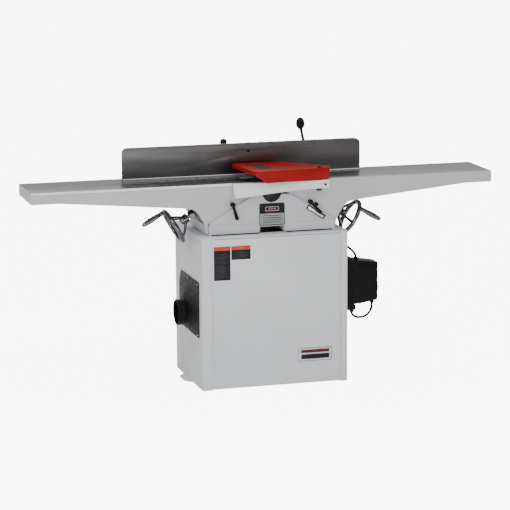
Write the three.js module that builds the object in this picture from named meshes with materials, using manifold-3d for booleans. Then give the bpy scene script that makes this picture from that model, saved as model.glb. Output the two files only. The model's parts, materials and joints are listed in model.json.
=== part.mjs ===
// Eight-inch woodworking jointer on a closed cabinet stand.
// Millimetres, +Z up. While it is built, X runs along the tables from the cutterhead's axis,
// Y runs back from the tables' front edge, and Z up from the floor. The last lines move the
// whole machine so that its origin is the centre of its footprint.
import * as THREE from "three";
import { mergeVertices } from "three/addons/utils/BufferGeometryUtils.js";
import Module from "manifold-3d";

const wasm = await Module();
wasm.setup();

// ---- driving dimensions ----
const GAP = 0.35; // between neighbouring pieces
const TABLE = { top: 795, width: 245, outfeedEnd: 936, infeedEnd: 906, tip: 45, skin: 12, wall: 11 };
const CUTTER = { z: 753.5, body: 38.5, knife: 41.5, lip: 44, shaft: 12.5, y0: 20, y1: 221 };
const WAY = { angle: Math.PI / 6, z0: 786.8, ribWidth: 45, ribHeight: 14, y: 122 };
const SCREW = { w: 34, radius: 8, hole: 8.5 };
const WHEEL = { rim: 66, tube: 9, spoke: 7.5, rimU: 394.4, hubU: 328, hubLength: 34, gripRadius: 11 };
const STAND = { x: 293.5, front: -55, back: 364, top: 596, sheet: 3, shelf: 60 };
const PANEL = { x0: -253, x1: 262.6, z0: 3, z1: 590 };
const BASE = { x: 251, front: -8, back: 218, bottom: 596.35, pillar: 65, pillarTop: 745, pillarBack: 244 };
const HOUSING = { radius: 38, bore: 26, front: -6, back: 17, rear0: 223, rear1: 243 };
const PULLEY = { y0: 250, y1: 276, beltY0: 257, beltY1: 269, small: 29, large: 46.2, belt: 3.6 };
const MOTOR = { x: 60, z: 165, radius: 75, y0: 60, y1: 236 };
const PORT = { y: 139, z: 275, radius: 50, bore: 46.5, x: -348.5 };
const FENCE = { x0: -541, x1: 424, face: 195.5, back: 207.5, bottom: 796, top: 920 };
const HINGE = [216, 806]; // y and z of the fence's tilting axis
const GUARD = { x: 188, y: -14, under: 828, top: 843, skirt: 797 };
const BOX = { x0: 293.85, x1: 368, y0: 118, y1: 205, z0: 240, z1: 452, cover: 478 };
const LID = { z0: 264, z1: 440, nose: 384 };
const LEAD = { radius: 4, y: 140, wallZ: 514, topX: 389, underX: 457, glandX: 372 };

const FOOTPRINT_CENTRE = { x: -15, y: 155.3 };

// ---- materials ----
const finish = (color, roughness, metalness) =>
  new THREE.MeshStandardMaterial({ color, roughness, metalness });
const PAINT = finish(0xe4e6e8, 0.38, 0);
const IRON = finish(0x7d8084, 0.25, 0.95);
const FENCE_IRON = finish(0x55585c, 0.3, 0.95);
const RED = finish(0xc3271b, 0.35, 0);
const BLACK = finish(0x17181a, 0.5, 0);
const RUBBER = finish(0x121314, 0.75, 0);
const CHROME = finish(0xc9ccd0, 0.12, 1);
const STEEL = finish(0x8f9398, 0.35, 0.9);
const MOTOR_GREY = finish(0x3a3d41, 0.55, 0.2);
const GREEN = finish(0x1f9a4a, 0.4, 0);
const STOP_RED = finish(0xd01f1f, 0.4, 0);

// ---- solids ----
function solid(geometry) {
  const bare = geometry.clone();
  bare.deleteAttribute("normal");
  bare.deleteAttribute("uv");
  const merged = mergeVertices(bare, 1e-3);
  const corners = [];
  const index = merged.index.array;
  for (let i = 0; i < index.length; i += 3) {
    const [a, b, c] = [index[i], index[i + 1], index[i + 2]];
    if (a !== b && b !== c && c !== a) corners.push(a, b, c);
  }
  const vertProperties = merged.attributes.position.array;
  const made = new wasm.Manifold(
    new wasm.Mesh({ numProp: 3, vertProperties, triVerts: new Uint32Array(corners) }),
  );
  if (made.volume() > 0) return made;
  for (let i = 0; i < corners.length; i += 3)
    [corners[i], corners[i + 1]] = [corners[i + 1], corners[i]];
  return new wasm.Manifold(
    new wasm.Mesh({ numProp: 3, vertProperties, triVerts: new Uint32Array(corners) }),
  );
}

function geometryOf(manifold) {
  const mesh = manifold.getMesh();
  const geometry = new THREE.BufferGeometry();
  geometry.setAttribute("position", new THREE.BufferAttribute(mesh.vertProperties, 3));
  geometry.setIndex(new THREE.BufferAttribute(mesh.triVerts, 1));
  return geometry;
}

const moved = (manifold, matrix) => solid(geometryOf(manifold).applyMatrix4(matrix));
const join = (...pieces) => pieces.reduce((whole, piece) => whole.add(piece));
const cut = (whole, ...tools) => tools.reduce((left, tool) => left.subtract(tool), whole);

function block(x0, x1, y0, y1, z0, z1) {
  const geometry = new THREE.BoxGeometry(x1 - x0, y1 - y0, z1 - z0);
  return solid(geometry.translate((x0 + x1) / 2, (y0 + y1) / 2, (z0 + z1) / 2));
}

// A straight round bar between two points; with two radii it tapers.
function rod(from, to, radius, endRadius = radius, sides = 16) {
  const a = new THREE.Vector3(...from);
  const b = new THREE.Vector3(...to);
  const along = b.clone().sub(a);
  const geometry = new THREE.CylinderGeometry(endRadius, radius, along.length(), sides);
  const turn = new THREE.Quaternion().setFromUnitVectors(Y, along.clone().normalize());
  geometry.applyQuaternion(turn).translate((a.x + b.x) / 2, (a.y + b.y) / 2, (a.z + b.z) / 2);
  return solid(geometry);
}

const disc = (x, z, radius, y0, y1, sides = 28) => rod([x, y0, z], [x, y1, z], radius, radius, sides);
const post = (x, y, radius, z0, z1, sides = 16) => rod([x, y, z0], [x, y, z1], radius, radius, sides);

function ball(x, y, z, radius, stretch = 1) {
  const geometry = new THREE.SphereGeometry(radius, 12, 8).rotateX(Math.PI / 2).scale(1, 1, stretch);
  return solid(geometry.translate(x, y, z));
}

// A flat outline of corners [a, b] or [a, b, fillet].
function outline(corners) {
  const shape = new THREE.Shape();
  corners.forEach(([a, b, fillet = 0], i) => {
    const corner = new THREE.Vector2(a, b);
    const [before, after] = [corners.at(i - 1), corners[(i + 1) % corners.length]].map(
      (next) => new THREE.Vector2(next[0], next[1]).sub(corner).setLength(fillet).add(corner),
    );
    if (i === 0) shape.moveTo(before.x, before.y);
    else shape.lineTo(before.x, before.y);
    if (fillet) shape.quadraticCurveTo(a, b, after.x, after.y);
  });
  return shape;
}

const X = new THREE.Vector3(1, 0, 0);
const Y = new THREE.Vector3(0, 1, 0);
const Z = new THREE.Vector3(0, 0, 1);
const ALONG_Y = new THREE.Matrix4().makeBasis(X, Z, Y.clone().negate());
const ALONG_X = new THREE.Matrix4().makeBasis(Y, Z, X);

function prism(corners, depth, curveSegments = 5) {
  const shape = Array.isArray(corners) ? outline(corners) : corners;
  return new THREE.ExtrudeGeometry(shape, { depth, bevelEnabled: false, curveSegments });
}
const prismXZ = (corners, y0, y1) =>
  solid(prism(corners, y1 - y0).applyMatrix4(ALONG_Y).translate(0, y1, 0));
const prismXY = (corners, z0, z1) => solid(prism(corners, z1 - z0).translate(0, 0, z0));
const prismYZ = (corners, x0, x1) =>
  solid(prism(corners, x1 - x0).applyMatrix4(ALONG_X).translate(x0, 0, 0));

// A closed body of revolution; its profile is [radius, height] from axis to axis, or a closed ring.
function turned(profile, sides = 32) {
  return new THREE.LatheGeometry(profile.map(([r, h]) => new THREE.Vector2(r, h)), sides);
}
const turnedAboutY = (profile, x, z, sides) =>
  solid(turned(profile, sides).translate(x, 0, z));

function sweep(points, radius, steps, sides) {
  const curve = new THREE.CatmullRomCurve3(points.map((p) => new THREE.Vector3(...p)));
  const section = new THREE.Shape();
  for (let i = 0; i < sides; i += 1) {
    const angle = (2 * Math.PI * i) / sides;
    const [a, b] = [radius * Math.cos(angle), radius * Math.sin(angle)];
    if (i) section.lineTo(a, b);
    else section.moveTo(a, b);
  }
  return solid(new THREE.ExtrudeGeometry(section, { steps, extrudePath: curve, bevelEnabled: false }));
}

// Rings of equal count, joined ring to ring and capped at both ends.
function loft(rings) {
  const count = rings[0].length;
  const positions = rings.flat(2);
  const index = [];
  for (let ring = 0; ring + 1 < rings.length; ring += 1)
    for (let i = 0; i < count; i += 1) {
      const [a, b] = [ring * count + i, ring * count + ((i + 1) % count)];
      index.push(a, b, a + count, b, b + count, a + count);
    }
  const last = (rings.length - 1) * count;
  for (let i = 1; i + 1 < count; i += 1) index.push(0, i + 1, i, last, last + i, last + i + 1);
  const geometry = new THREE.BufferGeometry();
  geometry.setAttribute("position", new THREE.Float32BufferAttribute(positions, 3));
  return solid(geometry.setIndex(index));
}

// ---- the sloping ways: u runs down and outward, y back, w square to the way ----
const WAY_U = new THREE.Vector3(Math.cos(WAY.angle), 0, -Math.sin(WAY.angle));
const WAY_W = new THREE.Vector3(Math.sin(WAY.angle), 0, Math.cos(WAY.angle));
const INFEED = new THREE.Matrix4().makeBasis(WAY_U, Y, WAY_W).setPosition(0, 0, WAY.z0);
const MIRROR = new THREE.Matrix4().makeScale(-1, 1, 1);
const OUTFEED = MIRROR.clone().multiply(INFEED);
const onWay = (manifold) => moved(manifold, INFEED);
const mirrored = (manifold) => moved(manifold, MIRROR);
const wayHeight = (x) => WAY.z0 - x * Math.tan(WAY.angle);

// ---- assembly ----
const machine = new THREE.Group();
function add(name, manifold, material, parent = machine) {
  const mesh = new THREE.Mesh(geometryOf(manifold), material);
  mesh.name = name;
  parent.add(mesh);
}

// ---- cabinet stand ----
function floorTab(side) {
  const wall = side * (STAND.x - 1);
  const edge = side * (STAND.x + 28);
  return prismXY([[wall, 92], [edge, 126, 6], [edge, 206, 6], [wall, 247]], 0, STAND.sheet);
}

function standBody() {
  const { x, front, back, top, sheet, shelf } = STAND;
  const skin = (inset) => [
    [-x + inset, front + inset, 14], [x - inset, front + inset, 14],
    [x - inset, back - inset, 5], [-x + inset, back - inset, 5],
  ];
  const shell = cut(
    prismXY(skin(0), 0, top),
    prismXY(skin(sheet), -1, top - sheet),
    block(PANEL.x0, PANEL.x1, front - 1, front + sheet + 1, -1, PANEL.z1 + 1),
    block(-200, 200, back - sheet - 1, back + 1, 70, 550),
    block(-x - 1, -x + sheet + 1, 14, 258, 218, 396),
    block(-62, 62, 12, 228, top - sheet - 1, top + 1),
    block(-50, 110, 240, 290, top - sheet - 1, top + 1),
    rod([x - sheet - 1, LEAD.y, LEAD.wallZ], [x + 1, LEAD.y, LEAD.wallZ], 5.5),
  );
  const upright = (xa, xb, y0) =>
    block(Math.min(xa, xb), Math.max(xa, xb), y0, front + 6, 4, top - sheet + 1);
  const lip = (edge, inner) => join(
    upright(edge, edge - inner * 14, front + 1),
    upright(edge - inner * 14, edge + inner * 16, front + sheet + GAP),
  );
  return join(
    shell,
    lip(PANEL.x0 - 0.5, 1),
    lip(PANEL.x1 + 0.5, -1),
    block(-x + 1, x - 1, front + 20, back - 1, shelf, shelf + sheet),
    floorTab(-1),
    floorTab(1),
  );
}

function rearPanel() {
  const plate = block(-215, 215, STAND.back + GAP, STAND.back + 2, 55, 565);
  const louvres = [];
  for (let z = 420; z <= 520; z += 20)
    louvres.push(block(-120, 120, STAND.back - 1, STAND.back + 4, z, z + 6));
  return cut(plate, ...louvres);
}

function buildStand() {
  add("stand_body", standBody(), PAINT);
  const { x0, x1, z0, z1 } = PANEL;
  add("front_panel", block(x0 + 1, x1 - 1, STAND.front, STAND.front + STAND.sheet, z0, z1 - 1), PAINT);
  add("rear_panel", rearPanel(), PAINT);
}

// ---- chip extraction ----
function portRing(x, radius) {
  const ring = [];
  for (let i = 0; i < 32; i += 1) {
    const angle = (2 * Math.PI * (i + 0.5)) / 32;
    ring.push([x, PORT.y + radius * Math.cos(angle), PORT.z + radius * Math.sin(angle)]);
  }
  return ring;
}

// The same directions as portRing, pushed out to the edges of a rectangle round the port.
function mouthRing(x, y0, y1, z0, z1) {
  return portRing(x, 1).map(([, y, z]) => {
    const [dy, dz] = [y - PORT.y, z - PORT.z];
    const reach = Math.min(
      (dy > 0 ? y1 - PORT.y : PORT.y - y0) / Math.abs(dy),
      (dz > 0 ? z1 - PORT.z : PORT.z - z0) / Math.abs(dz),
    );
    return [x, PORT.y + dy * reach, PORT.z + dz * reach];
  });
}

function dustChute() {
  const wall = -STAND.x - GAP;
  const plate = [[-12, 200, 6], [290, 200, 6], [290, 370], [262, 418], [-12, 418, 6]];
  const flange = prismYZ(plate, wall - 3.5, wall);
  const outer = loft([
    mouthRing(wall - 2, 12, 258, 216, 396), portRing(wall - 26, PORT.radius), portRing(PORT.x, PORT.radius),
  ]);
  const inner = loft([
    mouthRing(wall + 1, 16, 254, 220, 392), portRing(wall - 24, PORT.bore), portRing(PORT.x - 1, PORT.bore),
  ]);
  return cut(join(flange, outer), inner);
}

function chipChute() {
  const left = -STAND.x + STAND.sheet + 1;
  const outer = [[-60, 589], [60, 589], [60, 505], [left, 222], [left, 392], [-60, 560]];
  const inner = [[-58, 592], [58, 592], [58, 506], [left - 3, 224], [left - 3, 388], [-58, 556]];
  return cut(prismXZ(outer, 20, 226), prismXZ(inner, 22, 224));
}

function buildExtraction() {
  add("dust_chute", dustChute(), BLACK);
  add("chip_chute", chipChute(), STEEL);
}

// ---- base casting ----
function baseSide() {
  const { x, front, back, bottom, pillarTop } = BASE;
  const shoulder = (WAY.z0 - pillarTop) / Math.tan(WAY.angle);
  const shell = prismXZ([
    [-1, 602], [218, 602], [218, bottom], [x, bottom, 3], [x, 628, 6], [245.6, wayHeight(245.6)],
    [shoulder, pillarTop], [-1, pillarTop],
  ], front, back);
  const hollow = prismXZ([[80, 590], [236, 590], [236, 634], [94, 716], [80, 716]], front + 13, back - 13);
  const { ribWidth, ribHeight, y } = WAY;
  const rib = onWay(prismYZ([
    [y - ribWidth + 9, -3], [y + ribWidth - 9, -3], [y + ribWidth, ribHeight], [y - ribWidth, ribHeight],
  ], 107, 281));
  const ledge = prismXZ([
    [52, bottom], [x, bottom, 3], [x, 626, 5], [246, 634, 3], [52, 634],
  ], front - 4, front + 1);
  return join(cut(shell, hollow), rib, ledge);
}

function baseCasting() {
  const { pillar, pillarTop, back, pillarBack, front } = BASE;
  const { z, y0, y1 } = CUTTER;
  return cut(
    join(baseSide(), mirrored(baseSide()), block(-pillar, pillar, back - 1, pillarBack, 622, pillarTop)),
    disc(0, z, 45, HOUSING.back + 0.5, HOUSING.rear0 - 0.5),
    disc(0, z, HOUSING.radius + GAP, front - 1, HOUSING.back + 1),
    disc(0, z, HOUSING.radius + GAP, HOUSING.rear0 - 1, pillarBack + 1),
    block(-46, 46, y0 + 4, y1 - 4, 590, z),
    prismXZ([[-48, 590], [48, 590], [48, 622, 5], [-48, 622, 5]], front - 1, y0 + 5),
  );
}

function buildBase() {
  add("base_casting", baseCasting(), PAINT);
  const face = BASE.front - GAP;
  const badge = [[-50.5, 626, 2], [50.5, 626, 2], [50.5, 712, 2], [-50.5, 712, 2]];
  add("badge_plate", prismXZ(badge, face - 2, face), BLACK);
  const along = new THREE.Vector2(208 - 147, 648.5 - 688).normalize();
  const across = new THREE.Vector2(-along.y, along.x).multiplyScalar(6);
  const strip = [[147, 688, 1], [208, 648.5, -1]].flatMap(([x, z, side]) => [
    [x + side * across.x, z + side * across.y], [x - side * across.x, z - side * across.y],
  ]);
  add("depth_scale", prismXZ(strip, face - 1.2, face), CHROME);
}

// ---- cutterhead and drive ----
const about = (angle) => new THREE.Matrix4()
  .makeTranslation(0, 0, CUTTER.z)
  .multiply(new THREE.Matrix4().makeRotationY(angle))
  .multiply(new THREE.Matrix4().makeTranslation(0, 0, -CUTTER.z));

function buildCutterhead() {
  const { z, body, knife, shaft, y0, y1 } = CUTTER;
  const slot = block(-8, 8, y0 - 1, y1 + 1, z + 20, z + 45);
  const turns = [0, 1, 2].map((i) => about((i * 2 * Math.PI) / 3));
  const core = join(disc(0, z, body, y0, y1), disc(0, z, shaft, -2.5, PULLEY.y1 + 2, 24));
  add("cutterhead", cut(core, ...turns.map((turn) => moved(slot, turn))), STEEL);
  const blade = prismXZ([[-0.5, z + 21], [3, z + 21], [3, z + 38], [-0.5, z + knife]], y0 - 1, y1 + 1);
  const wedge = prismXZ([[-7.6, z + 20.4], [-0.9, z + 20.4], [-0.9, z + 37], [-7.6, z + 36]], y0, y1);
  turns.forEach((turn, i) => {
    add(`knife_${i + 1}`, moved(blade, turn), CHROME);
    add(`knife_gib_${i + 1}`, moved(wedge, turn), STEEL);
  });
}

function buildBearings() {
  const { radius, bore, front, back, rear0, rear1 } = HOUSING;
  const { z, shaft } = CUTTER;
  const cup = cut(disc(0, z, radius, front, back), disc(0, z, bore, front + 3, back + 1));
  add("front_bearing_housing", cup, BLACK);
  const rear = cut(
    disc(0, z, radius, rear0, rear1),
    disc(0, z, bore, rear0 - 1, rear1 - 4),
    disc(0, z, shaft + 2, rear0, rear1 + 1),
  );
  add("rear_bearing_housing", rear, BLACK);
  const ring = (y0, y1) => cut(disc(0, z, bore - 0.4, y0, y1), disc(0, z, shaft + 0.4, y0 - 1, y1 + 1, 24));
  add("front_bearing", ring(0, 15), STEEL);
  add("rear_bearing", ring(rear0 + 1, rear1 - 5), STEEL);
}

// A belt pulley round the Y axis with a flat-bottomed groove and a bore.
function pulley(x, z, pitch, bore) {
  const { y0, y1, beltY0, beltY1, belt } = PULLEY;
  const floor = pitch - belt - 0.4;
  const rim = pitch + belt + 2;
  const profile = [
    [bore, y0], [rim, y0], [rim, beltY0 - 2], [floor, beltY0 - 0.5],
    [floor, beltY1 + 0.5], [rim, beltY1 + 2], [rim, y1], [bore, y1], [bore, y0],
  ];
  return turnedAboutY(profile, x, z, 32);
}

// The belt's outline at one side of its pitch line: two arcs and the straight runs between them.
function beltOutline(offset) {
  const dx = -MOTOR.x;
  const dz = CUTTER.z - MOTOR.z;
  const heading = Math.atan2(dz, dx);
  const lean = Math.asin((PULLEY.large - PULLEY.small) / Math.hypot(dx, dz));
  const [low, high] = [PULLEY.large + offset, PULLEY.small + offset];
  const side = Math.PI / 2 - lean;
  const shape = new THREE.Shape();
  shape.absarc(MOTOR.x, MOTOR.z, low, heading + side, heading - side + 2 * Math.PI, false);
  shape.absarc(0, CUTTER.z, high, heading - side, heading + side, false);
  return shape;
}

function driveBelt() {
  const { belt, beltY0, beltY1 } = PULLEY;
  const run = (offset, y0, y1) =>
    solid(prism(beltOutline(offset), y1 - y0, 16).applyMatrix4(ALONG_Y).translate(0, y1, 0));
  return cut(run(belt, beltY0, beltY1), run(-belt, beltY0 - 1, beltY1 + 1));
}

function beltGuard() {
  const arch = (radius, bottom) => {
    const shape = new THREE.Shape();
    shape.moveTo(-radius - 1, bottom);
    shape.lineTo(radius + 24, bottom);
    shape.absarc(0, CUTTER.z, radius, 0, Math.PI, false);
    return shape;
  };
  const body = (radius, bottom, y0, y1) =>
    solid(prism(arch(radius, bottom), y1 - y0, 12).applyMatrix4(ALONG_Y).translate(0, y1, 0));
  return cut(body(40, STAND.top + GAP, BASE.pillarBack + 1, 288), body(37.5, 590, BASE.pillarBack, 285.5));
}

function buildDrive() {
  add("cutterhead_pulley", pulley(0, CUTTER.z, PULLEY.small, CUTTER.shaft + 0.4), MOTOR_GREY);
  add("motor_pulley", pulley(MOTOR.x, MOTOR.z, PULLEY.large, 11.4), MOTOR_GREY);
  add("motor_shaft", disc(MOTOR.x, MOTOR.z, 11, MOTOR.y1 - 60, PULLEY.y1 + 2, 24), STEEL);
  add("drive_belt", driveBelt(), RUBBER);
  add("belt_guard", beltGuard(), BLACK);
}

function buildMotor() {
  const { x, z, radius, y0, y1 } = MOTOR;
  const foot = (side) => block(x + side * 62 - 12, x + side * 62 + 12, y0 + 40, y1 - 30, z - 84, z - 30);
  const barrel = disc(x, z, radius, y0 + 14, y1 - 8);
  const bells = join(disc(x, z, radius - 8, y0, y0 + 15), disc(x, z, radius - 8, y1 - 9, y1));
  const terminals = block(x + 30, x + 110, y0 + 60, y0 + 130, z + 20, z + 90);
  const shaftBore = disc(x, z, 11.5, y1 - 62, y1 + 1, 24);
  add("motor_housing", cut(join(barrel, bells, foot(1), foot(-1), terminals), shaftBore), MOTOR_GREY);
  const shelf = STAND.shelf + STAND.sheet + GAP;
  add("motor_mount", join(
    block(x - 95, x + 95, y0 + 25, y1 - 15, z - 90, z - 84 - GAP),
    block(x - 95, x - 83, y0 + 25, y1 - 15, shelf, z - 89),
    block(x + 83, x + 95, y0 + 25, y1 - 15, shelf, z - 89),
  ), STEEL);
}

// ---- tables ----
function tableOutline(end, footBottom) {
  const { top, tip } = TABLE;
  const clear = (x) => wayHeight(x) + GAP;
  return [
    [22, top], [end, top, 1.5], [end, top - tip, 3], [end - 108, top - tip], [337, 706], [310, 701, 6],
    [292, 684, 8], [267, 643, 5], [261, 628], [261, footBottom, 2], [252, footBottom],
    [252, clear(252)], [50, clear(50)], [22, 768],
  ];
}

function tableBody(end, footBottom) {
  const { top, width, skin, wall } = TABLE;
  const body = prismXZ(tableOutline(end, footBottom), 0, width);
  const underside = top - skin;
  const pocket = block(300, end - 13, wall, width - wall, 690, underside);
  const beside = [[80, underside], [284, underside], [268, 690], [244, 645], [244, 590], [80, 590]];
  const ribs = [];
  for (let x = 392; x < end - 60; x += 104)
    ribs.push(block(x, x + 8, wall - 1, width - wall + 1, 690, underside + 1));
  const lifted = prismXZ(tableOutline(end, footBottom).map(([x, z]) => [x, z + 11]), 1, width - 1);
  const hollowed = cut(body, pocket, prismXZ(beside, wall, 40), prismXZ(beside, 204, width - wall));
  return join(hollowed, join(...ribs).intersect(lifted).intersect(body));
}

function tableFoot(body) {
  const { ribWidth, ribHeight, y } = WAY;
  const { w, hole } = SCREW;
  const boss = onWay(rod([278, y, w], [322, y, w], 20, 17));
  const groove = onWay(prismYZ([
    [y - ribWidth + 8.5, -3], [y + ribWidth - 2.5, -3], [y + ribWidth + 6.6, ribHeight + 0.5],
    [y - ribWidth - 0.5, ribHeight + 0.5],
  ], 30, 284));
  const channel = onWay(block(30, 284, y - 17, y + 17, ribHeight - 2, w + 18));
  const bore = onWay(rod([270, y, w], [330, y, w], hole));
  const throat = disc(0, CUTTER.z, CUTTER.lip, -1, TABLE.width + 1, 48);
  return cut(join(body, boss), groove, channel, bore, throat);
}

// The tapered strip that takes up the play between the rib and the table's groove.
function gib() {
  const { ribWidth, ribHeight, y } = WAY;
  return onWay(prismYZ([
    [y + ribWidth - 6.5, 0.6], [y + ribWidth - 1.2, 0.6],
    [y + ribWidth + 5.7, ribHeight], [y + ribWidth + 0.6, ribHeight],
  ], 120, 270));
}

function leadNut() {
  const { y, ribHeight } = WAY;
  const { w, hole } = SCREW;
  return onWay(cut(
    block(180, 206, y - 13, y + 13, ribHeight + GAP, w + 12),
    rod([170, y, w], [216, y, w], hole),
  ));
}

// ---- handwheels ----
function leadScrew() {
  const { w, radius } = SCREW;
  return onWay(rod([120, WAY.y, w], [WHEEL.hubU + WHEEL.hubLength - 4, WAY.y, w], radius));
}

const rimPoint = (angle, radius) => [WAY.y + radius * Math.sin(angle), SCREW.w + radius * Math.cos(angle)];

function handwheel(gripAngle) {
  const { rim, tube, spoke, rimU, hubU, hubLength } = WHEEL;
  const { w, hole } = SCREW;
  const hoop = new THREE.TorusGeometry(rim, tube, 8, 28).rotateY(Math.PI / 2);
  const ring = solid(hoop.translate(rimU, WAY.y, w));
  const hub = rod([hubU, WAY.y, w], [hubU + hubLength, WAY.y, w], 19, 15, 24);
  const bore = rod([hubU - 1, WAY.y, w], [hubU + hubLength - 3.6, WAY.y, w], hole);
  const spokes = [1, 3, 5].map((third) => {
    const angle = gripAngle + (third * Math.PI) / 3;
    const at = (u, radius) => [u, ...rimPoint(angle, radius)];
    const bend = [at(hubU + 18, 11), at(hubU + 36, 32), at(rimU - 12, 50), at(rimU - 1, rim - 2)];
    return sweep(bend, spoke, 5, 6);
  });
  const spindle = (u) => [u, ...rimPoint(gripAngle, rim)];
  const pin = rod(spindle(rimU), spindle(rimU + 102), 4.5, 4.5, 12);
  return onWay(join(cut(join(hub, ...spokes), bore), ring, pin));
}

function grip(gripAngle) {
  const { gripRadius, rimU, rim } = WHEEL;
  const r = gripRadius;
  const u = rimU + 10;
  const profile = [
    [5, 0], [r - 3, 0], [r - 1, 4], [r, 40], [r - 0.5, 70], [r - 3, 85], [r - 5, 90], [5, 90], [5, 0],
  ];
  const [y, w] = rimPoint(gripAngle, rim);
  return onWay(solid(turned(profile, 20).rotateZ(-Math.PI / 2).translate(u, y, w)));
}

// ---- small controls on the aprons ----
function lockLever(x, z, endX, endZ) {
  const face = -GAP;
  const arm = rod([x, -20, z], [endX, -26, endZ], 4.5, 7, 14);
  return join(disc(x, z, 9, -29, face, 20), arm, ball(endX, -26, endZ, 8));
}

function buildInfeed() {
  const body = tableFoot(tableBody(TABLE.infeedEnd, 611));
  add("infeed_table", body, IRON);
  add("infeed_gib", gib(), STEEL);
  add("infeed_nut", leadNut(), STEEL);
  add("infeed_screw", leadScrew(), STEEL);
  add("infeed_handwheel", handwheel(-Math.PI / 4), CHROME);
  add("infeed_grip", grip(-Math.PI / 4), CHROME);
  add("infeed_lock_lever", lockLever(152, 711, 189, 670), BLACK);
  add("depth_stop_knob", join(disc(177.5, 699, 6, -16, -GAP, 16), disc(177.5, 699, 8, -16, -9, 16)), BLACK);
}

function buildOutfeed() {
  const body = mirrored(tableFoot(tableBody(TABLE.outfeedEnd, 602)));
  add("outfeed_table", body, IRON);
  add("outfeed_gib", mirrored(gib()), STEEL);
  add("outfeed_nut", mirrored(leadNut()), STEEL);
  add("outfeed_screw", mirrored(leadScrew()), STEEL);
  add("outfeed_handwheel", mirrored(handwheel(Math.PI / 9)), CHROME);
  add("outfeed_grip", mirrored(grip(Math.PI / 9)), CHROME);
  add("outfeed_lock_lever", lockLever(-159, 715, -144.5, 663), BLACK);
}

// ---- rabbeting arm and cutter guard ----
function rabbetArm() {
  const [end, notch] = [228, 60];
  const plan = [[-155, -30, 3], [end, -30, 8], [end, -GAP], [notch, -GAP], [notch, -9], [-155, -9, 3]];
  const side = [[-155, 795], [-152, 739, 8], [0, 753], [120, 761.5], [170, 763], [end, 763], [end, 795]];
  const hole = post(GUARD.x, GUARD.y, 6.4, 750, 800);
  return cut(prismXY(plan, 735, 795).intersect(prismXZ(side, -31, 1)), hole);
}

function guardPost() {
  const { x, y } = GUARD;
  return join(post(x, y, 6, 752, 826), post(x, y, 11, 753, 763 - GAP, 6), post(x, y, 10, 795 + GAP, 798));
}

function cutterGuard() {
  const { x, y, under, top, skirt } = GUARD;
  const plan = [
    [-109, 171, 8], [-91, 188, 8], [63, 188, 14], [93, 180, 14], [239, 15, 12],
    [232, -15, 14], [190, -32, 10], [-72, -56, 7], [-82, -44, 6],
  ];
  const front = [
    [-82, -44], [-72, -56, 7], [190, -32, 10], [232, -15, 14], [239, 15],
    [231, 15], [224, -10], [188, -22], [-70, -46],
  ];
  const slanted = [[-90, under + 2], [-78, under], [-34, skirt], [240, skirt], [240, under + 2]];
  const apron = prismXY(front, skirt, under + 2).intersect(prismXZ(slanted, -60, 20));
  const boss = post(x, y, 17, skirt + 2, under + 1, 24);
  const pocket = prismXY([
    [-98, 168, 6], [-86, 180, 6], [61, 180, 10], [87, 173, 10],
    [206, 32, 10], [180, 8, 6], [160, -12, 6], [-68, -36, 6],
  ], under - 1, top - 5);
  const well = join(post(x, y, 12.5, skirt, under - 6, 24), post(x, y, 6.4, skirt, under + 1));
  return cut(join(cut(prismXY(plan, under, top), pocket), apron, boss), well);
}

function guardSpring() {
  const { x, y } = GUARD;
  return solid(turned([[7.5, 0], [11.5, 0], [11.5, 20], [7.5, 20], [7.5, 0]], 24)
    .rotateX(Math.PI / 2).translate(x, y, 799));
}

function buildGuard() {
  add("rabbet_arm", rabbetArm(), PAINT);
  add("guard_post", guardPost(), BLACK);
  add("cutter_guard", cutterGuard(), RED);
  add("guard_spring", guardSpring(), STEEL);
}

// ---- fence ----
function fencePlate() {
  const { x0, x1, face, back, bottom, top } = FENCE;
  const plate = prismXZ([[x0, bottom], [x1, bottom], [x1, top, 24], [x0, top, 24]], face, back);
  const rib = (z0, z1) => block(x0 + 30, x1 - 30, back - 1, back + 6, z0, z1);
  const ear = (x) => join(
    rod([x, ...HINGE], [x + 12, ...HINGE], 8, 8, 16),
    block(x, x + 12, back - 1, HINGE[0], HINGE[1], HINGE[1] + 8),
  );
  const hinges = [-60, 48].map(ear);
  const pinHoles = [-61, 47].map((x) => rod([x, ...HINGE], [x + 14, ...HINGE], 4.4, 4.4, 12));
  const sightHole = disc(-36, 887, 5, face - 1, back + 9, 16);
  return cut(join(plate, rib(862, 872), rib(902, 910), ...hinges), ...pinHoles, sightHole);
}

function tiltQuadrant() {
  const [y, z] = HINGE;
  const degrees = Math.PI / 180;
  const sector = (inner, outer, from, to) => {
    const shape = new THREE.Shape();
    shape.absarc(y, z, outer, from * degrees, to * degrees, false);
    shape.absarc(y, z, inner, to * degrees, from * degrees, true);
    return shape;
  };
  const plate = (shape, x0, x1) =>
    solid(prism(shape, x1 - x0, 14).applyMatrix4(ALONG_X).translate(x0, 0, 0));
  return cut(
    plate(sector(52, 72, 20, 90), -95, -89),
    plate(sector(58, 66, 26, 80), -96, -88),
  ).add(block(-95, -89, FENCE.back + 6 + GAP, y + 6, 850, 877));
}

function fenceHandle() {
  const foot = [217, FENCE.back + 6 + GAP, 848];
  const bend = [215, 224, 862];
  const head = [200.5, 268, 958];
  return join(
    rod(foot, [217, 226, 848], 10, 10, 16),
    rod([217, 222, 848], bend, 5.5, 5.5, 12),
    rod(bend, head, 5.5, 5.5, 12),
    ball(200, 270, 977.5, 16, 1.4),
  );
}

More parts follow.
